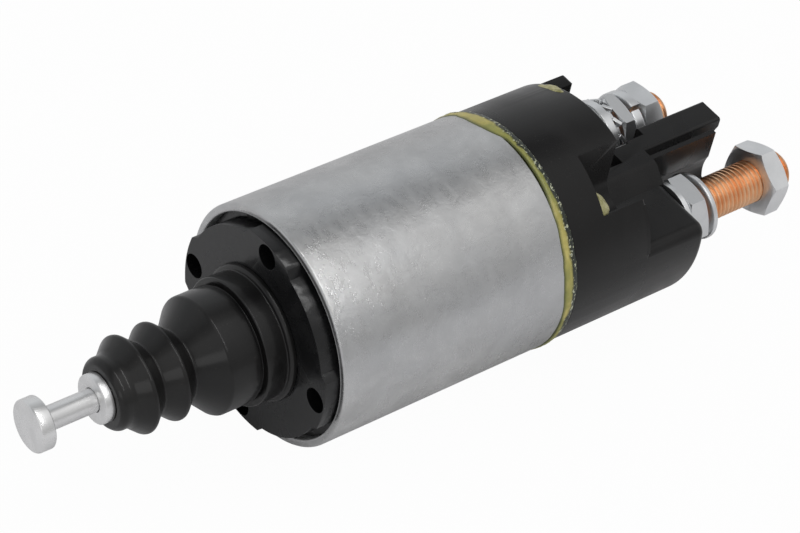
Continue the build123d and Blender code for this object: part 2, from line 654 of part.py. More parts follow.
def lock_washer(front, thickness, turn, side):
    """A split spring washer."""
    body = ring(0, thickness, STUD_RADIUS + SEAT_GAP, LOCK_WASHER_RADIUS)
    half_slit = LOCK_WASHER_SLIT / 2
    slit = block(-thickness, 2 * thickness, 0, 2 * LOCK_WASHER_RADIUS, -half_slit, half_slit)
    slit = Pos(thickness / 2, 0, 0) * Rot(0, 0, LOCK_SLIT_ANGLE) * Pos(-thickness / 2, 0, 0) * slit
    body -= Rot(turn, 0, 0) * slit
    return Pos(front, side, STUD_HEIGHT) * body


def toothed_washer(front, side):
    """A lock washer with teeth around its outside."""
    face = Circle(TOOTHED_ROOT_RADIUS)
    tooth_width = TOOTHED_ROOT_RADIUS * 2 * pi / TOOTH_COUNT * TOOTH_SHARE
    for index in range(TOOTH_COUNT):
        tooth = Pos(TOOTHED_WASHER_RADIUS / 2, 0) * Rectangle(TOOTHED_WASHER_RADIUS, tooth_width)
        face += Rot(0, 0, 360 / TOOTH_COUNT * index) * tooth
    face -= Circle(STUD_RADIUS + SEAT_GAP)
    return Pos(front, side, STUD_HEIGHT) * (Plane.YZ * extrude(face, TOOTHED_WASHER_THICKNESS))


def battery_fasteners():
    side = -STUD_SIDE
    bore = STUD_RADIUS + SEAT_GAP
    nut_front = TOWER_REAR + PLAIN_WASHER_THICKNESS
    lock_front = nut_front + BASE_NUT_LENGTH
    outer_front = lock_front + BATTERY_LOCK_THICKNESS + CABLE_SPACE
    return {
        "battery_washer": washer(
            TOWER_REAR, PLAIN_WASHER_THICKNESS, bore, PLAIN_WASHER_RADIUS, side, STUD_HEIGHT
        ),
        "battery_base_nut": nut(
            nut_front, BASE_NUT_LENGTH, NUT_ACROSS_FLATS, bore, BATTERY_BASE_ANGLE, side, STUD_HEIGHT
        ),
        "battery_lock_washer": lock_washer(lock_front, BATTERY_LOCK_THICKNESS, BATTERY_LOCK_ANGLE, side),
        "battery_outer_nut": nut(
            outer_front, OUTER_NUT_LENGTH, NUT_ACROSS_FLATS, bore, BATTERY_OUTER_ANGLE, side, STUD_HEIGHT
        ),
    }


def motor_fasteners():
    side = STUD_SIDE
    bore = STUD_RADIUS + SEAT_GAP
    flat_front = TOWER_REAR + PLAIN_WASHER_THICKNESS
    toothed_front = flat_front + FLAT_WASHER_THICKNESS
    nut_front = toothed_front + TOOTHED_WASHER_THICKNESS
    lock_front = nut_front + MOTOR_BASE_NUT_LENGTH
    outer_front = lock_front + MOTOR_LOCK_THICKNESS
    return {
        "motor_washer": washer(
            TOWER_REAR, PLAIN_WASHER_THICKNESS, bore, PLAIN_WASHER_RADIUS, side, STUD_HEIGHT
        ),
        "motor_flat_washer": washer(
            flat_front, FLAT_WASHER_THICKNESS, bore, FLAT_WASHER_RADIUS, side, STUD_HEIGHT
        ),
        "motor_toothed_washer": toothed_washer(toothed_front, side),
        "motor_base_nut": nut(
            nut_front, MOTOR_BASE_NUT_LENGTH, NUT_ACROSS_FLATS, bore, MOTOR_BASE_ANGLE, side, STUD_HEIGHT
        ),
        "motor_lock_washer": lock_washer(lock_front, MOTOR_LOCK_THICKNESS, MOTOR_LOCK_ANGLE, side),
        "motor_outer_nut": nut(
            outer_front, OUTER_NUT_LENGTH, NUT_ACROSS_FLATS, bore, MOTOR_OUTER_ANGLE, side, STUD_HEIGHT
        ),
    }


def control_fasteners():
    bore = CONTROL_RADIUS + SEAT_GAP
    nut_front = TOWER_REAR + CONTROL_WASHER_THICKNESS
    return {
        "control_washer": washer(
            TOWER_REAR, CONTROL_WASHER_THICKNESS, bore, CONTROL_WASHER_RADIUS, 0, CONTROL_HEIGHT
        ),
        "control_nut": nut(
            nut_front, CONTROL_NUT_LENGTH, CONTROL_ACROSS_FLATS, bore, 0, 0, CONTROL_HEIGHT
        ),
    }


def contact_rod():
    body = rod(CONTACT_ROD_FRONT, CONTACT_ROD_REAR, CONTACT_ROD_RADIUS)
    collar_rear = SPRING_COLLAR_FRONT + SPRING_COLLAR_LENGTH
    return body + rod(SPRING_COLLAR_FRONT, collar_rear, SPRING_COLLAR_RADIUS)


def contact_bridge():
    bar = block(
        BRIDGE_FRONT,
        BRIDGE_REAR,
        -BRIDGE_HALF_WIDTH,
        BRIDGE_HALF_WIDTH,
        STUD_HEIGHT - BRIDGE_HALF_HEIGHT,
        STUD_HEIGHT + BRIDGE_HALF_HEIGHT,
    )
    bar = fillet(bar.edges().filter_by(Axis.X), CONTACT_CORNER)
    return bar - rod(BRIDGE_FRONT, BRIDGE_REAR, INSULATOR_SLEEVE_RADIUS + SEAT_GAP)


def front_insulator():
    bore = CONTACT_ROD_RADIUS + SEAT_GAP
    front = BRIDGE_FRONT - FRONT_INSULATOR_LENGTH
    flange = ring(front, BRIDGE_FRONT, bore, INSULATOR_RADIUS)
    return flange + ring(front, BRIDGE_REAR, bore, INSULATOR_SLEEVE_RADIUS)


def rear_insulator():
    return ring(
        BRIDGE_REAR, BRIDGE_REAR + REAR_INSULATOR_LENGTH, CONTACT_ROD_RADIUS + SEAT_GAP, INSULATOR_RADIUS
    )


def contact_clip():
    front = BRIDGE_REAR + REAR_INSULATOR_LENGTH
    return ring(front, front + CLIP_THICKNESS, CONTACT_ROD_RADIUS + SEAT_GAP, CLIP_RADIUS)


def contact_spring():
    front = SPRING_COLLAR_FRONT + SPRING_COLLAR_LENGTH + SEAT_GAP
    rear = BRIDGE_FRONT - FRONT_INSULATOR_LENGTH - SEAT_GAP
    mean = CONTACT_ROD_RADIUS + CONTACT_WIRE / 2 + AIR_GAP
    return spring(front, rear, mean, CONTACT_WIRE, CONTACT_TURNS)


def contact_return_spring():
    front = BRIDGE_REAR + REAR_INSULATOR_LENGTH + CLIP_THICKNESS + PIECE_GAP
    rear = CAVITY_REAR + SPRING_POCKET_DEPTH - PIECE_GAP
    mean = CONTACT_ROD_RADIUS + CONTACT_WIRE / 2 + AIR_GAP
    return spring(front, rear, mean, CONTACT_WIRE, CONTACT_TURNS)


def build():
    bobbin_tube = BOBBIN_BORE + BOBBIN_WALL
    nodes = {
        "can": can(),
        "flange_plate": flange_plate(),
        "plunger_sleeve": plunger_sleeve(),
        "bobbin": bobbin(),
        "pull_in_winding": winding(bobbin_tube + PIECE_GAP, PULL_WINDING_RADIUS),
        "hold_in_winding": winding(PULL_WINDING_RADIUS + PIECE_GAP, HOLD_WINDING_RADIUS),
        "core": core(),
        "boot": boot(),
        "return_spring": return_spring(),
        "plunger": plunger(),
        "guide_tube": guide_tube(),
        "drive_spring": drive_spring(),
        "link_rod": link_rod(),
        "contact_rod": contact_rod(),
        "contact_bridge": contact_bridge(),
        "front_insulator": front_insulator(),
        "rear_insulator": rear_insulator(),
        "contact_clip": contact_clip(),
        "contact_spring": contact_spring(),
        "contact_return_spring": contact_return_spring(),
        "cap_gasket": cap_gasket(),
        "terminal_cap": cap(),
        "cap_screws": cap_screws(),
        "screw_sealant": screw_sealant(),
        "joint_sealant": joint_sealant(),
        "battery_stud": terminal_stud(-STUD_SIDE, BATTERY_STUD_REAR),
        "motor_stud": terminal_stud(STUD_SIDE, MOTOR_STUD_REAR),
        "control_stud": control_stud(),
    }
    nodes.update(battery_fasteners())
    nodes.update(motor_fasteners())
    nodes.update(control_fasteners())
    return nodes


os.makedirs("parts", exist_ok=True)
for node, shape in build().items():
    export_step(shape, f"parts/{node}.step")
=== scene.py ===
import json
from math import atan2, cos, hypot, pi, radians, sin

import bmesh
import bpy
from mathutils import Matrix, Vector, noise


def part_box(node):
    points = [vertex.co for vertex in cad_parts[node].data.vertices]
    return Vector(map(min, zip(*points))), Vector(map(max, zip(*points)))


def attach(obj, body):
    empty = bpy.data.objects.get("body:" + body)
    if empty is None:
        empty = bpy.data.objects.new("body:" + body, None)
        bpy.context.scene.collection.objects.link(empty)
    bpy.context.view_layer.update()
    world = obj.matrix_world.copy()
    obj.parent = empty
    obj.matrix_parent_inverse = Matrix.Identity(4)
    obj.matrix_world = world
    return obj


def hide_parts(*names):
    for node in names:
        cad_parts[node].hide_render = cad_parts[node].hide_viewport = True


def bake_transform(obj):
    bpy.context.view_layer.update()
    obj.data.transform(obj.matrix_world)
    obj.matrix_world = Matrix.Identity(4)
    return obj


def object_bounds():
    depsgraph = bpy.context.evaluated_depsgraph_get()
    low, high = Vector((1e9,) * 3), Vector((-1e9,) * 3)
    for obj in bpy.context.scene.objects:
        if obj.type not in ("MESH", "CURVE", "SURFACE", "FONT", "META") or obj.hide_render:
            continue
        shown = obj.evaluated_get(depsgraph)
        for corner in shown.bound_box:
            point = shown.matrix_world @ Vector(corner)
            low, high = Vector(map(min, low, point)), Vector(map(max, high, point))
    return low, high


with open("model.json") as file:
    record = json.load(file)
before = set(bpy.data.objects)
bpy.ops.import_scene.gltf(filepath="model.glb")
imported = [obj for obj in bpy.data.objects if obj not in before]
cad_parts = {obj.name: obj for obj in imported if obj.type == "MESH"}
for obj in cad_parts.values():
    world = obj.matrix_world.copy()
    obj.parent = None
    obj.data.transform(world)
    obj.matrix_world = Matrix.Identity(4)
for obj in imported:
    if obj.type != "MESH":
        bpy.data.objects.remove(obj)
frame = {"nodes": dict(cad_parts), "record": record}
cad_low, cad_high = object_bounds()

MM = 0.001
AXIS = Vector((1, 0, 0))
ORIGIN = (0, 0, 0)
FULL_TURN = 360

# Vertices closer than this are merged: in turned meshes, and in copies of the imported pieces
WELD = 0.001 * MM
CAD_WELD = 0.0005 * MM

# Sizes in millimetres that more than one piece is made from
THREAD_CREST = 5.95
WASHER_BORE = THREAD_CREST + 0.2
ROD_STEPS = 96

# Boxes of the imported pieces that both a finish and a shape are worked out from
can_low, can_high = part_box("can")
ring_low, ring_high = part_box("joint_sealant")


def mm(value):
    """A size of the frame in millimetres."""
    return value / MM


# Node helpers


def new_material(name):
    """A material with a plain Principled shader; gives (material, nodes, links, shader)."""
    material = bpy.data.materials.new(name)
    material.use_nodes = True
    nodes = material.node_tree.nodes
    return material, nodes, material.node_tree.links, nodes["Principled BSDF"]


def feed(links, socket, value):
    """Sets a socket to a number, or links another node's output to it."""
    if isinstance(value, (int, float)):
        socket.default_value = value
    else:
        links.new(value, socket)


def object_coordinates(nodes, links, scale=(1, 1, 1)):
    """Object coordinates through a Mapping node."""
    place = nodes.new("ShaderNodeTexCoord")
    mapping = nodes.new("ShaderNodeMapping")
    mapping.inputs["Scale"].default_value = scale
    links.new(place.outputs["Object"], mapping.inputs["Vector"])
    return mapping.outputs["Vector"]


def split_coordinates(nodes, links, kind):
    """The outputs X, Y and Z of one kind of texture coordinates."""
    place = nodes.new("ShaderNodeTexCoord")
    split = nodes.new("ShaderNodeSeparateXYZ")
    links.new(place.outputs[kind], split.inputs["Vector"])
    return split.outputs


def noise_of(nodes, links, vector, scale, detail=3.0, roughness=0.55, distortion=0.0):
    """A noise texture's value. Its scale is a number or a socket."""
    texture = nodes.new("ShaderNodeTexNoise")
    feed(links, texture.inputs["Scale"], scale)
    texture.inputs["Detail"].default_value = detail
    texture.inputs["Roughness"].default_value = roughness
    texture.inputs["Distortion"].default_value = distortion
    links.new(vector, texture.inputs["Vector"])
    return texture.outputs["Fac"]


def remap(nodes, links, value, low, high, to_low=0.0, to_high=1.0):
    """A value moved from one range to another, and held inside it."""
    node = nodes.new("ShaderNodeMapRange")
    node.inputs["From Min"].default_value = low
    node.inputs["From Max"].default_value = high
    node.inputs["To Min"].default_value = to_low
    node.inputs["To Max"].default_value = to_high
    links.new(value, node.inputs["Value"])
    return node.outputs["Result"]


def arithmetic(nodes, links, operation, first, second):
    """A Math node on two sockets or numbers."""
    node = nodes.new("ShaderNodeMath")
    node.operation = operation
    for socket, value in zip(node.inputs, (first, second)):
        feed(links, socket, value)
    return node.outputs["Value"]


def radius_of(nodes, links):
    """Distance from the X axis in metres."""
    place = split_coordinates(nodes, links, "Object")
    side = arithmetic(nodes, links, "MULTIPLY", place["Y"], place["Y"])
    height = arithmetic(nodes, links, "MULTIPLY", place["Z"], place["Z"])
    return arithmetic(nodes, links, "POWER", arithmetic(nodes, links, "ADD", side, height), 0.5)


def colour_sockets(sockets):
    """A Mix node's colour sockets by name. Its hidden sockets for numbers have the same names."""
    return {socket.name: socket for socket in sockets if socket.type == "RGBA"}


def blend_colours(nodes, links, factor, first, second):
    """A mix of two colours, each a tuple or a socket."""
    node = nodes.new("ShaderNodeMix")
    node.data_type = "RGBA"
    links.new(factor, node.inputs["Factor"])
    colours = colour_sockets(node.inputs)
    for name, value in (("A", first), ("B", second)):
        if isinstance(value, tuple):
            colours[name].default_value = (*value, 1.0)
        else:
            links.new(value, colours[name])
    return colour_sockets(node.outputs)["Result"]


def bump(nodes, links, shader, height, strength, distance):
    """Feeds a height to the shader's normal. The distance is in metres."""
    node = nodes.new("ShaderNodeBump")
    node.inputs["Strength"].default_value = strength
    node.inputs["Distance"].default_value = distance
    links.new(height, node.inputs["Height"])
    links.new(node.outputs["Normal"], shader.inputs["Normal"])


def new_group(name, inputs, outputs):
    """A shader node group; inputs are (name, kind, default) and outputs are (name, kind)."""
    tree = bpy.data.node_groups.new(name, "ShaderNodeTree")
    for label, kind, default in inputs:
        socket = tree.interface.new_socket(label, in_out="INPUT", socket_type=kind)
        if default is not None:
            socket.default_value = default
    for label, kind in outputs:
        tree.interface.new_socket(label, in_out="OUTPUT", socket_type=kind)
    return tree, tree.nodes.new("NodeGroupInput"), tree.nodes.new("NodeGroupOutput")


def plating_group():
    """Zinc plate: cloudy spangle, fine specks and the fine grain of the steel under it."""
    tree, inside, outside = new_group(
        "zinc plating",
        [
            ("Vector", "NodeSocketVector", None),
            ("Cloud scale", "NodeSocketFloat", 60.0),
            ("Speck scale", "NodeSocketFloat", 700.0),
        ],
        [
            ("Cloud", "NodeSocketFloat"),
            ("Specks", "NodeSocketFloat"),
            ("Height", "NodeSocketFloat"),
        ],
    )
    nodes, links = tree.nodes, tree.links
    vector = inside.outputs["Vector"]
    cloud = noise_of(nodes, links, vector, inside.outputs["Cloud scale"], 5.0, 0.6, 0.5)
    fine = noise_of(nodes, links, vector, inside.outputs["Speck scale"], 4.0, 0.7)
    cells = nodes.new("ShaderNodeTexVoronoi")
    links.new(vector, cells.inputs["Vector"])
    links.new(inside.outputs["Speck scale"], cells.inputs["Scale"])
    specks = remap(nodes, links, cells.outputs["Distance"], 0.05, 0.28, 1.0, 0.0)
    patchy = remap(nodes, links, cloud, 0.5, 0.66)
    specks = arithmetic(nodes, links, "MULTIPLY", specks, patchy)
    links.new(remap(nodes, links, cloud, 0.32, 0.68), outside.inputs["Cloud"])
    links.new(specks, outside.inputs["Specks"])
    links.new(arithmetic(nodes, links, "ADD", fine, specks), outside.inputs["Height"])
    return tree


def handling_group():
    """Dust and finger wear on moulded and painted pieces: broad smudges and fine dust."""
    tree, inside, outside = new_group(
        "handling marks",
        [("Vector", "NodeSocketVector", None), ("Smudge scale", "NodeSocketFloat", 45.0)],
        [("Smudge", "NodeSocketFloat"), ("Dust", "NodeSocketFloat"), ("Grain", "NodeSocketFloat")],
    )
    nodes, links = tree.nodes, tree.links
    vector = inside.outputs["Vector"]
    smudge = noise_of(nodes, links, vector, inside.outputs["Smudge scale"], 4.0, 0.5, 0.8)
    dust = noise_of(nodes, links, vector, 1600.0, 2.0)
    links.new(remap(nodes, links, smudge, 0.38, 0.7), outside.inputs["Smudge"])
    links.new(remap(nodes, links, dust, 0.66, 0.74), outside.inputs["Dust"])
    links.new(noise_of(nodes, links, vector, 2600.0, 2.0), outside.inputs["Grain"])
    return tree


PLATING = plating_group()
HANDLING = handling_group()


def use_group(nodes, links, tree, vector, **values):
    """Puts a group in a material and gives its outputs; cloud_scale sets its input Cloud scale."""
    node = nodes.new("ShaderNodeGroup")
    node.node_tree = tree
    links.new(vector, node.inputs["Vector"])
    for name, value in values.items():
        node.inputs[name.replace("_", " ").capitalize()].default_value = value
    return node.outputs


# Materials


def plated_steel(name, dark, light, rough_low, rough_high, cloud_scale, speck_scale, stretch, relief):
    """Bright zinc plate on steel. The clouds are drawn out along the axis by stretch."""
    material, nodes, links, shader = new_material(name)
    vector = object_coordinates(nodes, links, scale=stretch)
    marks = use_group(nodes, links, PLATING, vector, cloud_scale=cloud_scale, speck_scale=speck_scale)
    colour = blend_colours(nodes, links, marks["Cloud"], dark, light)
    speck_share = arithmetic(nodes, links, "MULTIPLY", marks["Specks"], 0.35)
    speckled = tuple(min(1.0, channel * 1.35) for channel in light)
    colour = blend_colours(nodes, links, speck_share, colour, speckled)
    links.new(colour, shader.inputs["Base Color"])
    links.new(remap(nodes, links, marks["Cloud"], 0, 1, rough_high, rough_low), shader.inputs["Roughness"])
    bump(nodes, links, shader, marks["Height"], relief, 0.06 * MM)
    shader.inputs["Metallic"].default_value = 1.0
    return material


def can_plating():
    """The can's zinc: soft clouds, fine rubbing round the can, bright grains, pits and a dull bore."""
    clear, cloudy, bluish = (0.53, 0.53, 0.53), (0.66, 0.66, 0.658), (0.58, 0.59, 0.605)
    bright, pitted = (1.0, 1.0, 1.0), (0.34, 0.33, 0.31)
    bore_radius, wall_radius = can_high.z - 1.8 * MM, can_high.z - 1.4 * MM
    material, nodes, links, shader = new_material("can zinc")
    vector = object_coordinates(nodes, links)
    marks = use_group(nodes, links, PLATING, vector, cloud_scale=95.0, speck_scale=1700.0)
    rubbed = noise_of(nodes, links, object_coordinates(nodes, links, scale=(2.2, 1, 1)), 210.0, 5.0, 0.7)
    ripple = noise_of(nodes, links, vector, 260.0, 5.0, 0.62, 0.5)
    broad = noise_of(nodes, links, object_coordinates(nodes, links, scale=(0.5, 1, 1)), 38.0)
    colour = blend_colours(nodes, links, marks["Cloud"], clear, cloudy)
    colour = blend_colours(nodes, links, remap(nodes, links, broad, 0.42, 0.62, 0.0, 0.5), colour, bluish)
    grains = arithmetic(nodes, links, "MULTIPLY", marks["Specks"], 0.55)
    colour = blend_colours(nodes, links, grains, colour, bright)
    pits = remap(nodes, links, noise_of(nodes, links, vector, 900.0, 2.0), 0.72, 0.80, 0.0, 0.4)
    colour = blend_colours(nodes, links, pits, colour, pitted)
    links.new(colour, shader.inputs["Base Color"])
    links.new(remap(nodes, links, rubbed, 0.3, 0.7, 0.22, 0.38), shader.inputs["Roughness"])
    metal = remap(nodes, links, radius_of(nodes, links), bore_radius, wall_radius, 0.25, 1.0)
    links.new(metal, shader.inputs["Metallic"])
    relief = arithmetic(nodes, links, "ADD", ripple, arithmetic(nodes, links, "MULTIPLY", rubbed, 0.14))
    speckle = arithmetic(nodes, links, "MULTIPLY", marks["Height"], 0.25)
    bump(nodes, links, shader, arithmetic(nodes, links, "ADD", relief, speckle), 0.55, 0.27 * MM)
    return material


def black_rubber():
    """The boot's rubber: near black, with a thin shine, smudges and pale dust."""
    clean, smudged, dust = (0.0055, 0.0054, 0.0055), (0.011, 0.0105, 0.010), (0.035, 0.033, 0.03)
    material, nodes, links, shader = new_material("boot rubber")
    vector = object_coordinates(nodes, links)
    marks = use_group(nodes, links, HANDLING, vector, smudge_scale=70.0)
    colour = blend_colours(nodes, links, marks["Smudge"], clean, smudged)
    dusty = arithmetic(nodes, links, "MULTIPLY", marks["Dust"], 0.35)
    colour = blend_colours(nodes, links, dusty, colour, dust)
    links.new(colour, shader.inputs["Base Color"])
    links.new(remap(nodes, links, marks["Smudge"], 0, 1, 0.3, 0.42), shader.inputs["Roughness"])
    bump(nodes, links, shader, marks["Grain"], 0.2, 0.06 * MM)
    shader.inputs["Specular IOR Level"].default_value = 0.2
    shader.inputs["Coat Weight"].default_value = 0.42
    shader.inputs["Coat Roughness"].default_value = 0.12
    return material


def black_paint():
    """The plate's black paint, with a slight orange peel."""
    clean, smudged = (0.004, 0.0042, 0.0046), (0.009, 0.009, 0.0095)
    material, nodes, links, shader = new_material("plate paint")
    vector = object_coordinates(nodes, links)
    marks = use_group(nodes, links, HANDLING, vector, smudge_scale=90.0)
    links.new(blend_colours(nodes, links, marks["Smudge"], clean, smudged), shader.inputs["Base Color"])
    links.new(remap(nodes, links, marks["Smudge"], 0, 1, 0.2, 0.32), shader.inputs["Roughness"])
    bump(nodes, links, shader, noise_of(nodes, links, vector, 420.0, 2.0), 0.3, 0.12 * MM)
    return material


def cap_moulding():
    """Black thermoset, satin where it left the mould and duller where it was handled."""
    clean, smudged, dust = (0.0045, 0.0042, 0.0042), (0.009, 0.0085, 0.0082), (0.04, 0.037, 0.034)
    material, nodes, links, shader = new_material("cap moulding")
    vector = object_coordinates(nodes, links)
    marks = use_group(nodes, links, HANDLING, vector, smudge_scale=38.0)
    flow = noise_of(nodes, links, object_coordinates(nodes, links, scale=(0.25, 1, 1)), 240.0, 4.0)
    colour = blend_colours(nodes, links, marks["Smudge"], clean, smudged)
    dusty = arithmetic(nodes, links, "MULTIPLY", marks["Dust"], 0.3)
    colour = blend_colours(nodes, links, dusty, colour, dust)
    links.new(colour, shader.inputs["Base Color"])
    links.new(remap(nodes, links, marks["Smudge"], 0, 1, 0.24, 0.38), shader.inputs["Roughness"])
    bump(nodes, links, shader, arithmetic(nodes, links, "ADD", marks["Grain"], flow), 0.12, 0.08 * MM)
    shader.inputs["Specular IOR Level"].default_value = 0.28
    shader.inputs["Sheen Weight"].default_value = 0.10
    shader.inputs["Sheen Roughness"].default_value = 0.45
    return material


def bare_copper():
    """Drawn copper with soft clouds and fine marks round the stud."""
    dark, light = (0.90, 0.46, 0.23), (0.98, 0.62, 0.38)
    material, nodes, links, shader = new_material("stud copper")
    cloud = noise_of(nodes, links, object_coordinates(nodes, links), 160.0, 4.0)
    fine = noise_of(nodes, links, object_coordinates(nodes, links, scale=(3.0, 1, 1)), 900.0)
    colour = blend_colours(nodes, links, remap(nodes, links, cloud, 0.35, 0.65), dark, light)
    links.new(colour, shader.inputs["Base Color"])
    links.new(remap(nodes, links, fine, 0.3, 0.7, 0.3, 0.42), shader.inputs["Roughness"])
    bump(nodes, links, shader, fine, 0.15, 0.05 * MM)
    shader.inputs["Metallic"].default_value = 1.0
    return material


def cured_sealant():
    """Yellow-green potting compound with a dark rim. Its cap side is near black, with pale grains."""
    olive, straw, stained = (0.36, 0.32, 0.075), (0.60, 0.52, 0.17), (0.24, 0.26, 0.06)
    rim, soot, grain = (0.10, 0.11, 0.03), (0.012, 0.017, 0.009), (0.52, 0.54, 0.38)
    dark_start = ring_low.x + (ring_high.x - ring_low.x) * 0.40
    edge_width = 0.7 * MM
    rim_radius, body_radius = 32.56 * MM, 32.76 * MM
    material, nodes, links, shader = new_material("joint sealant")
    vector = object_coordinates(nodes, links)
    cloud = noise_of(nodes, links, vector, 130.0, 5.0, 0.6, 0.6)
    grains = noise_of(nodes, links, vector, 1050.0, 2.0)
    stain = noise_of(nodes, links, object_coordinates(nodes, links, scale=(2.0, 1, 1)), 55.0, 4.0, 0.5, 0.8)
    wander = remap(nodes, links, cloud, 0.3, 0.7, -edge_width, edge_width)
    station = arithmetic(nodes, links, "ADD", split_coordinates(nodes, links, "Object")["X"], wander)
    cap_side = remap(nodes, links, station, dark_start, dark_start + edge_width)
    near_rim = remap(nodes, links, radius_of(nodes, links), body_radius, rim_radius)
    yellow = blend_colours(nodes, links, remap(nodes, links, cloud, 0.35, 0.65), olive, straw)
    yellow = blend_colours(nodes, links, remap(nodes, links, stain, 0.46, 0.6, 0.0, 0.75), yellow, stained)
    yellow = blend_colours(nodes, links, near_rim, yellow, rim)
    dark = blend_colours(nodes, links, remap(nodes, links, grains, 0.57, 0.63), soot, grain)
    links.new(blend_colours(nodes, links, cap_side, yellow, dark), shader.inputs["Base Color"])
    links.new(remap(nodes, links, cloud, 0.3, 0.7, 0.25, 0.42), shader.inputs["Roughness"])
    bump(nodes, links, shader, arithmetic(nodes, links, "ADD", cloud, grains), 0.4, 0.25 * MM)
    shader.inputs["Subsurface Weight"].default_value = 0.15
    shader.inputs["Subsurface Radius"].default_value = (1.0 * MM, 0.9 * MM, 0.3 * MM)
    return material


def plug_sealant():
    """The same compound where it stands in the screw pockets: pale and lumpy."""
    olive, pale = (0.22, 0.21, 0.07), (0.66, 0.62, 0.36)
    material, nodes, links, shader = new_material("plug sealant")
    cloud = noise_of(nodes, links, object_coordinates(nodes, links), 260.0, 5.0, 0.65, 0.6)
    colour = blend_colours(nodes, links, remap(nodes, links, cloud, 0.35, 0.62), olive, pale)
    links.new(colour, shader.inputs["Base Color"])
    links.new(remap(nodes, links, cloud, 0.3, 0.7, 0.3, 0.45), shader.inputs["Roughness"])
    bump(nodes, links, shader, cloud, 0.4, 0.3 * MM)
    return material


def plain_metal(name, dark, light, rough, wave_scale=0.0):
    """Turned or drawn metal of the inner pieces, with rings round the axis if wave_scale is given."""
    material, nodes, links, shader = new_material(name)
    vector = object_coordinates(nodes, links)
    cloud = noise_of(nodes, links, vector, 120.0, 4.0)
    colour = blend_colours(nodes, links, remap(nodes, links, cloud, 0.35, 0.65), dark, light)
    links.new(colour, shader.inputs["Base Color"])
    links.new(remap(nodes, links, cloud, 0.3, 0.7, rough, rough + 0.14), shader.inputs["Roughness"])
    if wave_scale:
        rings = nodes.new("ShaderNodeTexWave")
        rings.bands_direction = "X"
        rings.inputs["Scale"].default_value = wave_scale
        rings.inputs["Distortion"].default_value = 0.3
        links.new(vector, rings.inputs["Vector"])
        bump(nodes, links, shader, rings.outputs["Fac"], 0.5, 0.2 * MM)
    else:
        bump(nodes, links, shader, noise_of(nodes, links, vector, 1500.0), 0.15, 0.05 * MM)
    shader.inputs["Metallic"].default_value = 1.0
    return material


def plain_moulding(name, dark, light, rough):
    """Nylon, phenolic and gasket rubber of the inner pieces."""
    material, nodes, links, shader = new_material(name)
    vector = object_coordinates(nodes, links)
    marks = use_group(nodes, links, HANDLING, vector, smudge_scale=60.0)
    links.new(blend_colours(nodes, links, marks["Smudge"], dark, light), shader.inputs["Base Color"])
    links.new(remap(nodes, links, marks["Smudge"], 0, 1, rough, rough + 0.12), shader.inputs["Roughness"])
    bump(nodes, links, shader, marks["Grain"], 0.2, 0.06 * MM)
    return material


MATERIALS = {
    "can_zinc": can_plating(),
    "rod_zinc": plated_steel(
        "rod zinc", (0.80, 0.80, 0.80), (0.92, 0.92, 0.92), rough_low=0.24, rough_high=0.34,
        cloud_scale=140.0, speck_scale=900.0, stretch=(0.5, 1, 1), relief=0.12,
    ),
    "nut_zinc": plated_steel(
        "nut zinc", (0.75, 0.76, 0.77), (0.86, 0.87, 0.88), rough_low=0.32, rough_high=0.42,
        cloud_scale=110.0, speck_scale=1100.0, stretch=(1, 1, 1), relief=0.05,
    ),
    "boot_rubber": black_rubber(),
    "black_steel": black_paint(),
    "cap_plastic": cap_moulding(),
    "stud_copper": bare_copper(),
    "sealant": cured_sealant(),
    "brass_sleeve": plain_metal("sleeve brass", (0.60, 0.44, 0.20), (0.74, 0.57, 0.28), 0.25),
    "winding_copper": plain_metal(
        "winding wire", (0.42, 0.14, 0.05), (0.62, 0.26, 0.10), 0.3, wave_scale=900.0
    ),
    "core_steel": plain_metal("core steel", (0.42, 0.43, 0.44), (0.56, 0.57, 0.58), 0.3, wave_scale=1400.0),
    "spring_steel": plain_metal("spring steel", (0.36, 0.36, 0.37), (0.5, 0.5, 0.51), 0.28),
    "bobbin_nylon": plain_moulding("bobbin nylon", (0.62, 0.58, 0.48), (0.74, 0.71, 0.62), 0.4),
    "insulator_plastic": plain_moulding("insulator phenolic", (0.20, 0.10, 0.05), (0.30, 0.16, 0.09), 0.4),
    "gasket_rubber": plain_moulding("gasket rubber", (0.012, 0.012, 0.012), (0.03, 0.03, 0.03), 0.55),
}

# The pockets' sealant shares the joint's slot, and has a finish of its own
PLUG_SEALANT = plug_sealant()

SLOT_OF_NODE = {part["node"]: part["material_slot"] for part in frame["record"]["subparts"]}
BODY_OF_NODE = {
    node: body for body, members in frame["record"]["behaviour"]["bodies"].items() for node in members
}


def finish_nodes():
    """Every piece of the frame gets its own finish."""
    for name, piece in frame["nodes"].items():
        material = MATERIALS[SLOT_OF_NODE[name]]
        if not piece.material_slots:
            piece.data.materials.append(material)
        for material_slot in piece.material_slots:
            material_slot.material = material


# Modelling helpers. Turns and angles are in degrees, and a turn runs from +Y towards +Z


def settle(bm, name, node, flat_angle, material=None):
    """Makes the mesh an object that takes a node's place; edges above flat_angle stay sharp."""
    bmesh.ops.recalc_face_normals(bm, faces=bm.faces)
    mesh = bpy.data.meshes.new(name)
    bm.to_mesh(mesh)
    bm.free()
    mesh.shade_smooth()
    mesh.set_sharp_from_angle(angle=radians(flat_angle))
    piece = bpy.data.objects.new(name, mesh)
    bpy.context.scene.collection.objects.link(piece)
    piece.data.materials.append(material or MATERIALS[SLOT_OF_NODE[node]])
    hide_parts(node)
    return piece


def box_and_middle(node):
    """The box of a node, and the middle of its YZ side as a move from the X axis."""
    low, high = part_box(node)
    return low, high, (0, (low.y + high.y) / 2, (low.z + high.z) / 2)


def off_axis(vert):
    """A vertex's distance from the X axis in metres."""
    return hypot(vert.co.y, vert.co.z)


def pull(vert, factor):
    """Moves a vertex away from the X axis, or towards it."""
    vert.co.y *= factor
    vert.co.z *= factor


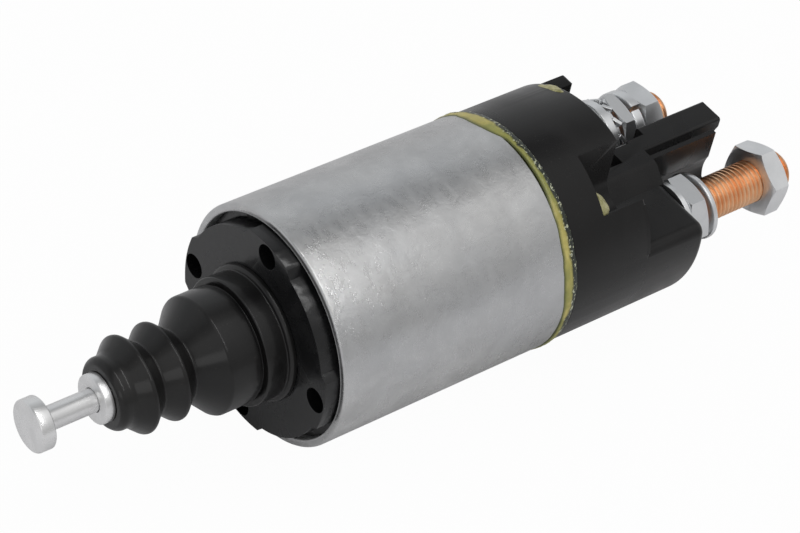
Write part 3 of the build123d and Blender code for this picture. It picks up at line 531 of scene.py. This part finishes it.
def draw_points(bm, points, side=0.0, height=0.0):
    """Vertices at (x, radius) points in millimetres, above a line that is side and height off the axis."""
    return [bm.verts.new((x * MM, side * MM, (height + radius) * MM)) for x, radius in points]


def rotate(bm, verts, degrees, axis="X"):
    """Turns vertices about an axis through the origin."""
    bmesh.ops.rotate(bm, verts=verts, cent=ORIGIN, matrix=Matrix.Rotation(radians(degrees), 3, axis))


def sweep(bm, geometry, turn, steps, closed=False, centre=ORIGIN, advance=0.0):
    """Sweeps geometry round a line along X; advance is how far each step moves it on, in metres."""
    bmesh.ops.spin(
        bm,
        geom=geometry,
        cent=centre,
        axis=AXIS,
        dvec=(advance, 0, 0),
        angle=radians(turn),
        steps=steps,
        use_merge=closed,
    )


def spun(points, steps):
    """A bmesh turned about the X axis from a closed outline of (x, radius) points in millimetres."""
    bm = bmesh.new()
    verts = draw_points(bm, points)
    for first, second in zip(verts, verts[1:] + verts[:1]):
        bm.edges.new((first, second))
    sweep(bm, bm.verts[:] + bm.edges[:], FULL_TURN, steps, closed=True)
    bmesh.ops.remove_doubles(bm, verts=bm.verts, dist=WELD)
    loose = [edge for edge in bm.edges if not edge.link_faces]
    bmesh.ops.delete(bm, geom=loose, context="EDGES")
    return bm


def round_ring(bm, x, radius, width, segments=3):
    """Bevels the circular edge at one corner of a spun piece."""
    near = 0.01 * MM

    def at_corner(vert):
        """Whether a vertex is on that circle."""
        return abs(vert.co.x - x * MM) < near and abs(off_axis(vert) - radius * MM) < near

    ring = [edge for edge in bm.edges if all(at_corner(vert) for vert in edge.verts)]
    bmesh.ops.bevel(
        bm, geom=ring, offset=width * MM, segments=segments, profile=0.5, affect="EDGES", material=-1
    )


def cad_mesh(node):
    """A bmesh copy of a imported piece, with its seams merged."""
    bm = bmesh.new()
    bm.from_mesh(frame["nodes"][node].data)
    bmesh.ops.remove_doubles(bm, verts=bm.verts, dist=CAD_WELD)
    return bm


def soften_edges(piece, width, segments, angle, harden):
    """Rounds the edges that are sharper than the angle with a Bevel modifier."""
    soften = piece.modifiers.new("soft edges", "BEVEL")
    soften.width = width * MM
    soften.segments = segments
    soften.limit_method = "ANGLE"
    soften.angle_limit = radians(angle)
    soften.harden_normals = harden


def cad_copy(node, name, width, segments=2):
    """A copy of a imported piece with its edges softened."""
    sharp = 30.0
    flat = radians(0.4)
    bm = cad_mesh(node)
    bmesh.ops.dissolve_limit(bm, angle_limit=flat, verts=bm.verts, edges=bm.edges)
    piece = settle(bm, name, node, flat_angle=sharp)
    soften_edges(piece, width, segments, sharp, harden=True)
    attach(piece, BODY_OF_NODE[node])


# Pieces. Sizes are in millimetres


def can_tube():
    """The can: a tube with rounded rims."""
    front, rear = mm(can_low.x), mm(can_high.x)
    wall = 2.2
    outer = mm(can_high.z)
    bore = outer - wall
    bm = spun([(front, bore), (front, outer), (rear, outer), (rear, bore)], steps=192)
    round_ring(bm, front, outer, width=0.7, segments=4)
    round_ring(bm, front, bore, width=0.35)
    round_ring(bm, rear, outer, width=0.5)
    piece = settle(bm, "can_tube", "can", flat_angle=50)
    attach(piece, "housing")


def rubber_boot():
    """Cuff, two folds, cup, groove, bead and foot, with a wall of one thickness behind the folds.

    The two outlines are (x, radius, rounding of that corner).
    """
    boot_low, boot_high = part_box("boot")
    front, rear = mm(boot_low.x), mm(boot_high.x)
    wall = 1.9
    lip, cuff, fold, valley, cup, groove, bead = 8.5, 9.6, 13.3, 9.2, 15.8, 15.0, 17.2
    foot = mm(boot_high.z) + 0.15
    hem = mm(boot_high.z) + 0.02
    tube, hub = 5.85, 14.55
    cuff_front, cuff_rear = front + 1.2, front + 3.9
    fold_1, valley_1, fold_2, valley_2 = -37.2, -32.65, -28.1, -23.55
    cup_front, cup_rear, bead_front, bead_rear, foot_rear = -17.3, -8.6, -7.7, -1.7, -0.04
    hub_front = cup_rear + 0.5
    outer = [
        (front, lip, 0.4), (cuff_front, cuff, 0.7), (cuff_rear, cuff, 0.9),
        (fold_1, fold, 0.9), (valley_1, valley, 0.6), (fold_2, fold, 0.9), (valley_2, valley, 0.6),
        (cup_front, cup, 0.5), (cup_rear, cup, 0.35), (cup_rear, groove, 0.2), (bead_front, groove, 0.2),
        (bead_front, bead, 0.45), (bead_rear, bead - 0.2, 0.3), (bead_rear, foot, 0.95),
        (foot_rear, foot, 0.1), (foot_rear, hem, 0.0), (rear, hem, 0.0),
    ]
    inner = [
        (rear, hub, 0.0), (hub_front, hub, 0.0), (hub_front, cup - wall, 0.0),
        (cup_front + wall / 2, cup - wall, 1.0), (valley_2, valley - wall, 1.0),
        (fold_2, fold - wall, 0.6), (valley_1, valley - wall, 1.0), (fold_1, fold - wall, 0.6),
        (cuff_rear + wall, valley - wall, 0.5), (cuff_rear, tube, 0.2), (front, tube, 0.2),
    ]
    bm = spun([(x, radius) for x, radius, _ in outer + inner], steps=144)
    for x, radius, width in outer + inner:
        if width:
            round_ring(bm, x, radius, width, segments=5)
    wavy_radius, wavy_front, wavy_rear, fade_in, fade_out = 8.0, front + 2, -1.5, 4, 2
    broad_wave, fine_wave, sunk = 0.09, 0.03, 0.06
    for vert in bm.verts:
        station, radius = mm(vert.co.x), off_axis(vert)
        if mm(radius) > wavy_radius and station > wavy_front:
            wave = noise.noise(vert.co * 90) * broad_wave + noise.noise(vert.co * 260) * fine_wave - sunk
            rising = min(1.0, (station - wavy_front) / fade_in)
            falling = min(1.0, max(0.0, wavy_rear - station) / fade_out)
            pull(vert, 1 + wave * rising * falling * MM / radius)
    piece = settle(bm, "rubber_boot", "boot", flat_angle=60)
    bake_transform(piece)


def collared_tube():
    """The tube in front of the plunger: a collar at its mouth, a shank and a plug."""
    tube_low, tube_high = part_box("guide_tube")
    front, rear = mm(tube_low.x), mm(tube_high.x)
    bore, collar, shank, plug = 3.18, 6.5, 5.8, 7.95
    collar_rear = front + 2.4
    plug_front = -14
    outline = [
        (front, bore), (front, collar), (collar_rear, collar), (collar_rear, shank),
        (plug_front, shank), (plug_front, plug), (rear, plug), (rear, bore),
    ]
    bm = spun(outline, steps=ROD_STEPS)
    round_ring(bm, front, collar, width=0.45)
    round_ring(bm, front, bore, width=0.25)
    piece = settle(bm, "collared_tube", "guide_tube", flat_angle=50)
    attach(piece, "plunger")


def pull_rod():
    """The rod that the fork pulls: a round head, a shank and the flange that the spring bears on."""
    rod_low, rod_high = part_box("link_rod")
    front, rear = mm(rod_low.x), mm(rod_high.x)
    head, shank, flange = 6.9, 3.1, 7.8
    head_rear = front + 3.9
    flange_front = rear - 3
    outline = [
        (front, 0), (front, head), (head_rear, head), (head_rear, shank),
        (flange_front, shank), (flange_front, flange), (rear, flange), (rear, 0),
    ]
    bm = spun(outline, steps=ROD_STEPS)
    round_ring(bm, front, head, width=0.7, segments=4)
    round_ring(bm, head_rear, head, width=0.35)
    round_ring(bm, head_rear, shank, width=0.3)
    piece = settle(bm, "pull_rod", "link_rod", flat_angle=50)
    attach(piece, "link")


# Where the bead runs out on to the can, or draws back from it: (turn, half width in degrees, reach)
BEAD_RUNS = ((70, 18, 1.9), (104, 26, -0.9), (158, 24, 0.7), (205, 24, -0.8), (290, 40, 0.6))


def sealant_bead():
    """The bead squeezed out over the joint: lumpy, with uneven edges, widest near the can's top.

    Its section is (share of its width, radius).
    """
    front_spread, rear_spread, crest_drop = 0.6, 0.7, 0.25
    edge_slow, edge_fast = 0.3, 0.2
    lump_slow, lump_fast, lump_fine = 0.14, 0.12, 0.07
    front, rear = mm(ring_low.x) - front_spread, mm(ring_high.x) + rear_spread
    crest = mm(ring_high.z) - crest_drop
    foot = 31.0
    foot_front, foot_rear = front + 1.2, rear - 0.6
    skin = foot + 0.5
    middle = (front + rear) / 2
    section = (
        (0.0, 32.42), (0.12, 32.66), (0.28, 32.84), (0.5, crest), (0.7, 32.78), (0.88, 32.58), (1.0, 32.2),
    )
    points = [(front + (rear - front) * share, radius) for share, radius in section]
    bm = spun(points + [(foot_rear, foot), (foot_front, foot)], steps=320)
    for vert in bm.verts:
        turn, radius = atan2(vert.co.z, vert.co.y), off_axis(vert)
        if mm(radius) < skin:
            continue
        around = Vector((cos(turn), sin(turn), 0))
        slow = noise.noise(around * 3.1 + Vector((0.4, 0, 0)))
        fast = noise.noise(around * 9 + Vector((0, 0, 3)))
        finest = noise.noise(Vector((mm(vert.co.x) * 1.4, cos(turn) * 40, sin(turn) * 40)))
        side = (mm(vert.co.x) - middle) / (rear - middle)
        reach = edge_slow * slow + edge_fast * fast
        if side < 0:
            for place, spread, size in BEAD_RUNS:
                away = abs((turn - radians(place) + pi) % (2 * pi) - pi) / radians(spread)
                reach += size * max(0.0, 1 - away * away)
        vert.co.x += side * reach * MM
        lump = lump_slow * slow + lump_fast * fast + lump_fine * finest
        pull(vert, 1 + lump * (1 - side * side) * MM / radius)
    piece = settle(bm, "sealant_bead", "joint_sealant", flat_angle=80)
    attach(piece, "housing")


def threaded_stud(node, name, thread_start):
    """The open length of a copper stud, with a helical thread and a chamfered point."""
    _, high, middle = box_and_middle(node)
    root, pitch, chamfer = 5.15, 1.5, 0.95
    crest_start, crest_end = 0.36 * pitch, 0.64 * pitch
    steps, spare_turns = 56, 3
    seam = 0.004 * MM
    rear = mm(high.x)
    points = []
    for index in range(int((rear - thread_start) / pitch) + spare_turns):
        start = thread_start - pitch + index * pitch
        points += [(start, root), (start + crest_start, THREAD_CREST), (start + crest_end, THREAD_CREST)]
    bm = bmesh.new()
    verts = draw_points(bm, points)
    for first, second in zip(verts, verts[1:]):
        bm.edges.new((first, second))
    sweep(bm, bm.verts[:] + bm.edges[:], FULL_TURN, steps, advance=pitch * MM / steps)
    bmesh.ops.remove_doubles(bm, verts=bm.verts, dist=seam)
    for place, is_point in ((thread_start, False), (rear, True)):
        bmesh.ops.bisect_plane(
            bm,
            geom=bm.verts[:] + bm.edges[:] + bm.faces[:],
            plane_co=(place * MM, 0, 0),
            plane_no=AXIS,
            clear_outer=is_point,
            clear_inner=not is_point,
        )
    for vert in bm.verts:
        limit = THREAD_CREST - chamfer + (rear - mm(vert.co.x))
        radius = off_axis(vert)
        if mm(radius) > limit:
            pull(vert, limit * MM / radius)
    rims = [edge for edge in bm.edges if edge.is_boundary]
    bmesh.ops.holes_fill(bm, edges=rims, sides=0)
    bmesh.ops.translate(bm, verts=bm.verts, vec=middle)
    piece = settle(bm, name, node, flat_angle=25)
    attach(piece, "housing")


def split_washer(node, name, cut_turn, rise, slack=0.0):
    """A spring lock washer: one turn of square wire that leaves the nut's face towards its cut.

    With slack it hangs that far behind the nut, as it does on a stud with no cable under its nut.
    """
    low, high, middle = box_and_middle(node)
    outer, rounding = 9.6, 0.35
    swept = 352
    front = mm(low.x) + slack
    rear = front + mm(high.x - low.x) - rise - slack / 2
    bm = bmesh.new()
    verts = draw_points(bm, ((front, WASHER_BORE), (front, outer), (rear, outer), (rear, WASHER_BORE)))
    bm.faces.new(verts)
    bmesh.ops.bevel(
        bm, geom=verts, offset=rounding * MM, segments=3, profile=0.5, affect="VERTICES", material=-1
    )
    sweep(bm, bm.faces[:], swept, steps=100)
    for vert in bm.verts:
        share = ((atan2(vert.co.z, vert.co.y) - pi / 2) % (2 * pi)) / radians(swept)
        vert.co.x += rise * MM * min(1.0, share) ** 3
    rotate(bm, bm.verts, cut_turn)
    bmesh.ops.translate(bm, verts=bm.verts, vec=middle)
    piece = settle(bm, name, node, flat_angle=50)
    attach(piece, "housing")


def toothed_ring():
    """An external tooth washer: a thin ring whose teeth are twisted across its plane."""
    node = "motor_toothed_washer"
    low, high, middle = box_and_middle(node)
    half_thick = 0.6
    station = mm(low.x + high.x) / 2
    front, rear = station - half_thick, station + half_thick
    ring, tip, overlap = 8.6, 9.9, 1.0
    teeth, tooth_thick, tooth_wide, twist = 12, 1.1, 3.0, 36
    tooth_root = ring - overlap
    bm = spun([(front, WASHER_BORE), (front, ring), (rear, ring), (rear, WASHER_BORE)], steps=64)
    for index in range(teeth):
        tooth = bmesh.ops.create_cube(bm, size=1.0)["verts"]
        bmesh.ops.scale(bm, verts=tooth, vec=(tooth_thick * MM, tooth_wide * MM, (tip - tooth_root) * MM))
        rotate(bm, tooth, twist, "Z")
        bmesh.ops.translate(bm, verts=tooth, vec=(station * MM, 0, (tip + tooth_root) / 2 * MM))
        rotate(bm, tooth, FULL_TURN / teeth * index)
    bmesh.ops.translate(bm, verts=bm.verts, vec=middle)
    piece = settle(bm, "tooth_washer", node, flat_angle=40)
    soften_edges(piece, width=0.16, segments=2, angle=40, harden=False)
    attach(piece, "housing")


def screw_plugs():
    """Sealant in the four screw pockets, and the two lumps where it swells out of the upper ones.

    A plug is (side, height, top, height of its dome), and a lump is (x, radius, turn, half sizes).
    """
    low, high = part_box("screw_sealant")
    front = mm(low.x)
    screw_circle = 25.0
    step = screw_circle * cos(pi / 4)
    pocket = mm(high.y) - step
    filled, deep = 105.7, 89.6
    rings, steps = 7, 48
    plugs = (
        (step, step, filled, 2.4),
        (-step, step, deep, 1.6),
        (-step, -step, deep, 3.4),
        (step, -step, deep, 3.4),
    )
    bm = bmesh.new()
    for side, height, top, dome in plugs:
        profile = [(front, pocket), (top, pocket)]
        for index in range(1, rings):
            turn = pi / 2 / rings * index
            profile.append((top + dome * sin(turn), pocket * cos(turn)))
        profile += [(top + dome, 0), (front, 0)]
        verts = draw_points(bm, profile, side, height)
        edges = [bm.edges.new(pair) for pair in zip(verts, verts[1:])]
        sweep(bm, verts + edges, FULL_TURN, steps, closed=True, centre=(0, side * MM, height * MM))
    lumps = ((101.7, 31.75, 63, (1.5, 5.0, 0.9)), (90.3, 27.4, 136, (3.4, 4.9, 5.0)))
    uneven_scale, uneven = 420, 0.006
    for station, radius, turn, size in lumps:
        lump = bmesh.ops.create_icosphere(bm, subdivisions=4, radius=MM)["verts"]
        bmesh.ops.scale(bm, verts=lump, vec=size)
        bmesh.ops.translate(bm, verts=lump, vec=(station * MM, 0, radius * MM))
        rotate(bm, lump, turn - 90)
        for vert in lump:
            vert.co *= 1 + noise.noise(vert.co * uneven_scale) * uneven
    bmesh.ops.remove_doubles(bm, verts=bm.verts, dist=WELD)
    piece = settle(bm, "screw_plugs", "screw_sealant", flat_angle=60, material=PLUG_SEALANT)
    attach(piece, "housing")


def ring_edge():
    """Makes the ring's rounded rear edge sharp where the cap's side carries on behind it."""
    front, rear, inner, outer = 102.6, 103.6, 31.5, 32.31
    start, reach = 142.5, 25.0
    bm = bmesh.new()
    bm.faces.new(draw_points(bm, ((front, inner), (front, outer), (rear, outer), (rear, inner))))
    rotate(bm, bm.verts, start - 90)
    sweep(bm, bm.faces[:], reach, steps=30)
    piece = settle(bm, "ring_edge", "terminal_cap", flat_angle=40)
    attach(piece, "housing")


def coil_springs():
    """Three springs that work between two bodies, copied from the imported pieces as fixed meshes."""
    for node, name, first, second in (
        ("return_spring", "return_coil", "plunger", "housing"),
        ("drive_spring", "drive_coil", "plunger", "link"),
        ("contact_return_spring", "contact_return_coil", "contact", "housing"),
    ):
        piece = settle(cad_mesh(node), name, node, flat_angle=40)
        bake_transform(piece)


def build_pieces():
    """Every piece that takes the place of a packed one."""
    can_tube()
    rubber_boot()
    collared_tube()
    pull_rod()
    sealant_bead()
    hidden_thread = 4
    thread_start = mm(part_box("battery_washer")[0].x) - hidden_thread
    threaded_stud("battery_stud", "threaded_battery_stud", thread_start)
    threaded_stud("motor_stud", "threaded_motor_stud", thread_start)
    split_washer("battery_lock_washer", "battery_spring_washer", cut_turn=160, rise=1.5, slack=0.9)
    split_washer("motor_lock_washer", "motor_spring_washer", cut_turn=24, rise=1.0)
    toothed_ring()
    screw_plugs()
    coil_springs()
    ring_edge()
    cad_copy("flange_plate", "mounting_plate", width=0.35)
    cad_copy("terminal_cap", "moulded_cap", width=0.35)
    for node in ("battery_base_nut", "battery_outer_nut", "motor_base_nut", "motor_outer_nut"):
        cad_copy(node, node.replace("nut", "hexagon"), width=0.3, segments=3)
    for node in ("battery_washer", "motor_washer", "motor_flat_washer"):
        cad_copy(node, node + "_soft", width=0.2)
    cad_copy("control_nut", "control_hexagon", width=0.15)
    cad_copy("control_washer", "control_washer_soft", width=0.15)


# Studio


# The tent's brightness round the X axis: (turn, level)
TENT_PANELS = (
    (-40, 1.05), (-12, 0.70), (10, 0.60), (38, 0.62), (54, 0.46), (67, 0.26), (80, 0.46), (94, 0.84),
    (114, 0.76), (132, 0.64), (148, 0.57), (164, 0.44), (178, 0.44),
)


def floor_and_backdrop():
    """A floor that the camera sees as white, and that every other ray meets as pale grey."""
    half_size, gap = 6.0, 0.2 * MM
    white_share = 0.97
    bm = bmesh.new()
    bmesh.ops.create_grid(bm, x_segments=1, y_segments=1, size=half_size)
    mesh = bpy.data.meshes.new("floor")
    bm.to_mesh(mesh)
    bm.free()
    floor = bpy.data.objects.new("floor", mesh)
    floor.location.z = cad_low.z - gap
    bpy.context.scene.collection.objects.link(floor)
    material = bpy.data.materials.new("white floor")
    material.use_nodes = True
    nodes, links = material.node_tree.nodes, material.node_tree.links
    nodes.clear()
    lit = nodes.new("ShaderNodeBsdfDiffuse")
    lit.inputs["Color"].default_value = (0.78, 0.78, 0.78, 1)
    glow = nodes.new("ShaderNodeEmission")
    glow.inputs["Color"].default_value = (1, 1, 1, 1)
    path = nodes.new("ShaderNodeLightPath")
    seen = arithmetic(nodes, links, "MULTIPLY", path.outputs["Is Camera Ray"], white_share)
    mix = nodes.new("ShaderNodeMixShader")
    output = nodes.new("ShaderNodeOutputMaterial")
    links.new(seen, mix.inputs["Fac"])
    links.new(lit.outputs["BSDF"], mix.inputs[1])
    links.new(glow.outputs["Emission"], mix.inputs[2])
    links.new(mix.outputs["Shader"], output.inputs["Surface"])
    mesh.materials.append(material)


def tent_world():
    """A tent that is white to the camera, and lights dull surfaces evenly.

    Reflections see panels of unlike brightness in it, with a dark seam at 67 degrees.
    """
    even_light = (0.62, 0.62, 0.63)
    cool_start, cool_end, cool_tint = 0, 70, 0.02
    world = bpy.data.worlds.new("tent")
    bpy.context.scene.world = world
    world.use_nodes = True
    nodes, links = world.node_tree.nodes, world.node_tree.links
    nodes.clear()
    place = split_coordinates(nodes, links, "Generated")
    turn = arithmetic(nodes, links, "ARCTAN2", place["Z"], place["Y"])
    ramp = nodes.new("ShaderNodeValToRGB")
    ramp.color_ramp.interpolation = "EASE"
    links.new(remap(nodes, links, turn, -pi, pi), ramp.inputs["Fac"])
    stops = ramp.color_ramp.elements
    while len(stops) < len(TENT_PANELS):
        stops.new(0.5)
    for stop, (angle, level) in zip(stops, TENT_PANELS):
        stop.position = (angle + FULL_TURN / 2) / FULL_TURN
        tint = cool_tint if cool_start < angle < cool_end else 0
        stop.color = (level * (1 - tint), level, level * (1 + tint), 1)
    path = nodes.new("ShaderNodeLightPath")
    panels = blend_colours(nodes, links, path.outputs["Is Diffuse Ray"], ramp.outputs["Color"], even_light)
    tent = nodes.new("ShaderNodeBackground")
    links.new(panels, tent.inputs["Color"])
    white = nodes.new("ShaderNodeBackground")
    white.inputs["Color"].default_value = (1, 1, 1, 1)
    mix = nodes.new("ShaderNodeMixShader")
    output = nodes.new("ShaderNodeOutputWorld")
    links.new(path.outputs["Is Camera Ray"], mix.inputs["Fac"])
    links.new(tent.outputs["Background"], mix.inputs[1])
    links.new(white.outputs["Background"], mix.inputs[2])
    links.new(mix.outputs["Shader"], output.inputs["Surface"])


def softbox(name, direction, distance, size_x, size_y, power):
    """An area lamp that faces the middle of the object from one direction."""
    centre = (cad_low + cad_high) / 2
    lamp = bpy.data.lights.new(name, "AREA")
    lamp.shape = "RECTANGLE"
    lamp.size = size_x
    lamp.size_y = size_y
    lamp.energy = power
    piece = bpy.data.objects.new(name, lamp)
    bpy.context.scene.collection.objects.link(piece)
    away = Vector(direction).normalized()
    piece.location = centre + away * distance
    piece.rotation_mode = "QUATERNION"
    piece.rotation_quaternion = (-away).to_track_quat("-Z", "Y")


def lights():
    """A long narrow lamp over the part, and a weak one on the camera's left."""
    softbox("overhead", (0.02, -0.30, 0.95), distance=0.9, size_x=0.06, size_y=1.0, power=1.5)
    softbox("left", (-0.80, -0.50, 0.30), distance=1.0, size_x=0.3, size_y=0.3, power=0.25)


def camera():
    """The photograph's camera, worked out from the can's rims and the boot's rings."""
    lens, sensor = 136.17, 36.0
    centre = Vector((-356.98, -390.54, 537.00)) * MM
    right = Vector((0.78731, -0.59602, 0.15782))
    up = Vector((0.33203, 0.62554, 0.70601))
    back = right.cross(up)
    data = bpy.data.cameras.new("camera")
    data.lens = lens
    data.sensor_width = sensor
    data.sensor_fit = "HORIZONTAL"
    data.clip_start = 0.01
    data.clip_end = 50
    piece = bpy.data.objects.new("camera", data)
    bpy.context.scene.collection.objects.link(piece)
    piece.rotation_mode = "QUATERNION"
    piece.rotation_quaternion = Matrix((right, up, back)).transposed().to_quaternion()
    piece.location = centre
    bpy.context.scene.camera = piece


finish_nodes()
build_pieces()
floor_and_backdrop()
tent_world()
lights()
camera()
bpy.context.scene.view_settings.view_transform = "Standard"
